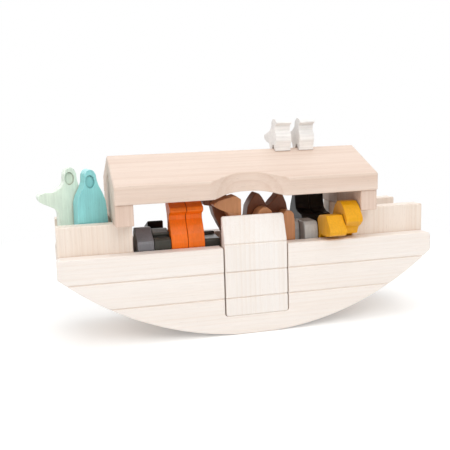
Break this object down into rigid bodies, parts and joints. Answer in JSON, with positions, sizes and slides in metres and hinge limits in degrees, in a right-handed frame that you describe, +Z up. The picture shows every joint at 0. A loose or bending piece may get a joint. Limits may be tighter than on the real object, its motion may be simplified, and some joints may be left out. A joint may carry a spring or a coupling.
{
  "type": "toy ark",
  "caption": "Wooden toy ark with a rocker hull, gabled roof and loose door ramp, holding loose painted people, animal pairs and doves.",
  "frame": {"origin": "on the ground, under the middle of the box around the whole toy", "axes": "+X along the hull towards the empty end deck, +Y away from the ramp side, +Z up"},
  "size_m": [0.3738, 0.1214, 0.1984],
  "materials": {
    "hull_wood": "satin",
    "roof_wood": "satin",
    "ramp_wood": "satin",
    "inner_wood": "satin",
    "mint_paint": "satin",
    "teal_paint": "satin",
    "white_paint": "satin",
    "dark_grey_paint": "satin",
    "near_black_paint": "satin",
    "orange_paint": "satin",
    "tan_paint": "satin",
    "brown_paint": "satin",
    "grey_paint": "satin",
    "black_paint": "satin",
    "yellow_paint": "satin"
  },
  "bodies": {
    "root": {"black_left": "black_paint", "black_right": "black_paint", "bulkhead_left": "inner_wood", "bulkhead_right": "inner_wood", "cabin_floor": "inner_wood", "camel_front": "tan_paint", "camel_rear": "brown_paint", "dark_back": "black_paint", "dark_low": "near_black_paint", "dark_sloping": "dark_grey_paint", "dark_snouted": "near_black_paint", "deck_left": "inner_wood", "deck_right": "inner_wood", "dove_left": "white_paint", "dove_right": "white_paint", "end_wall_back_left": "hull_wood", "end_wall_back_right": "hull_wood", "end_wall_front_left": "hull_wood", "end_wall_front_right": "hull_wood", "gable_left_back": "roof_wood", "gable_left_front": "roof_wood", "gable_right_back": "roof_wood", "gable_right_front": "roof_wood", "grey_left": "grey_paint", "grey_right": "grey_paint", "hull_side_back": "hull_wood", "hull_side_front": "hull_wood", "orange_left": "orange_paint", "orange_right": "orange_paint", "person_reaching": "mint_paint", "person_robed": "teal_paint", "ramp": "ramp_wood", "roof_back": "roof_wood", "roof_front": "roof_wood", "yellow_high": "yellow_paint", "yellow_low": "yellow_paint"}
  },
  "joints": []
}
